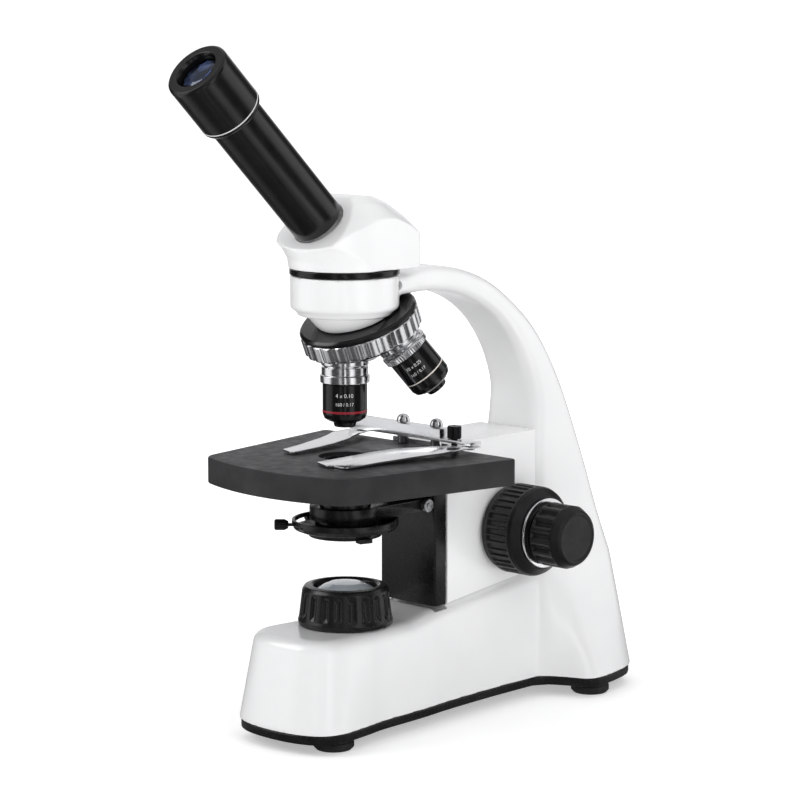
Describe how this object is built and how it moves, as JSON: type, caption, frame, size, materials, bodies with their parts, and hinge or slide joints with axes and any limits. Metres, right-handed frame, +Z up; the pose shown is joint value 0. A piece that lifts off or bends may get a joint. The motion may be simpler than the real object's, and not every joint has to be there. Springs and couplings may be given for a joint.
{
  "type": "teaching microscope",
  "caption": "Monocular teaching microscope with an inclined eyepiece tube, a tilted turning nosepiece, a geared stage with specimen clips and a lamp in the base.",
  "frame": {"origin": "centre of the bounding box in plan, at the underside of the feet", "axes": "+Z up, -Y towards the user's side where the eyepiece leans, +Y towards the arm, +X to the user's right"},
  "size_m": [0.127, 0.2804, 0.3256],
  "materials": {
    "white_paint": "gloss",
    "black_metal": "satin",
    "black_plastic": "satin",
    "stage_grey": "matte",
    "rubber": "matte",
    "chrome": "polished",
    "steel": "satin",
    "led_metal": "satin",
    "brass": "satin",
    "circuit_board": "satin",
    "glass": "polished"
  },
  "bodies": {
    "stand": {"stand_casting": "white_paint", "base_plate": "black_metal", "foot_front_left": "rubber", "foot_front_right": "rubber", "foot_rear_left": "rubber", "foot_rear_right": "rubber", "power_inlet": "black_plastic", "lamp_housing": "black_metal", "lamp_lens": "glass", "led_holder": "led_metal", "led_board": "brass", "driver_board": "circuit_board", "focus_housing": "white_paint", "guide_rail_left": "steel", "guide_rail_right": "steel", "nosepiece_mount": "white_paint", "turret_axle": "steel", "head_ring": "black_metal", "head_set_screw": "black_metal"},
    "stage": {"stage_plate": "stage_grey", "stage_carrier": "black_metal", "rack": "brass", "bracket_screw": "steel", "clip_bar": "chrome", "clip_nut_left": "chrome", "clip_nut_right": "chrome", "clip_thumb_screw": "black_plastic", "condenser_barrel": "black_metal", "condenser_lens": "glass", "iris_housing": "black_metal"},
    "left_clip": {"clip_left": "chrome"},
    "right_clip": {"clip_right": "chrome"},
    "iris_ring": {"iris_lever": "black_plastic"},
    "filter": {"filter_holder": "black_plastic", "filter_glass": "glass"},
    "coarse_drive": {"coarse_shaft": "steel", "coarse_knob_left": "black_plastic", "coarse_knob_right": "black_plastic", "knob_ring_left": "chrome", "knob_ring_right": "chrome"},
    "fine_drive": {"fine_shaft": "steel", "fine_knob_left": "black_plastic", "fine_knob_right": "black_plastic"},
    "nosepiece": {"turret_body": "black_metal", "turret_ring": "chrome", "objective_4x_collar": "chrome", "objective_4x_barrel": "black_metal", "objective_4x_lens": "glass", "objective_10x_collar": "chrome", "objective_10x_barrel": "black_metal", "objective_10x_lens": "glass", "port_cap": "black_plastic"},
    "head": {"head_housing": "white_paint", "head_prism": "glass", "eyepiece_tube": "black_metal"},
    "eyepiece": {"eyepiece_body": "black_metal", "eye_lens": "glass", "field_lens": "glass"},
    "dial": {"brightness_dial": "black_plastic"}
  },
  "joints": [
    {"name": "stage_lift", "type": "slide", "parent": "stand", "child": "stage", "axis": [0, 0, 1], "range_m": [-0.0025, 0.011]},
    {"name": "coarse_turn", "type": "hinge", "parent": "stand", "child": "coarse_drive", "pos_m": [0, 0.05542, 0.0883], "axis": [1, 0, 0], "range_deg": [-106, 25]},
    {"name": "fine_turn", "type": "hinge", "parent": "stand", "child": "fine_drive", "pos_m": [0, 0.05542, 0.0883], "axis": [1, 0, 0], "continuous": true},
    {"name": "nosepiece_turn", "type": "hinge", "parent": "stand", "child": "nosepiece", "pos_m": [0, -0.03878, 0.2174], "axis": [0, -0.3907, 0.9205], "continuous": true},
    {"name": "head_turn", "type": "hinge", "parent": "stand", "child": "head", "pos_m": [0, -0.03878, 0.2184], "axis": [0, 0, 1], "continuous": true},
    {"name": "eyepiece_pull", "type": "slide", "parent": "head", "child": "eyepiece", "axis": [0, -0.7193, 0.6947], "range_m": [0, 0.03]},
    {"name": "left_clip_turn", "type": "hinge", "parent": "stage", "child": "left_clip", "pos_m": [-0.0365, 0.00792, 0.135], "axis": [0, 0, 1], "range_deg": [-15, 5]},
    {"name": "right_clip_turn", "type": "hinge", "parent": "stage", "child": "right_clip", "pos_m": [0.0365, 0.00792, 0.135], "axis": [0, 0, 1], "range_deg": [-5, 15]},
    {"name": "iris_turn", "type": "hinge", "parent": "stage", "child": "iris_ring", "pos_m": [0, -0.03878, 0.0997], "axis": [0, 0, 1], "range_deg": [-30, 30]},
    {"name": "filter_swing", "type": "hinge", "parent": "stage", "child": "filter", "pos_m": [-0.021, -0.03878, 0.0957], "axis": [0, 0, 1], "range_deg": [-75, 0]},
    {"name": "brightness_turn", "type": "hinge", "parent": "stand", "child": "dial", "pos_m": [-0.038, 0.11122, 0.022], "axis": [1, 0, 0], "range_deg": [0, 270]}
  ],
  "couplings": [
    {"joint": "coarse_turn", "follows": "stage_lift", "rad_per_m": -166.67}
  ]
}
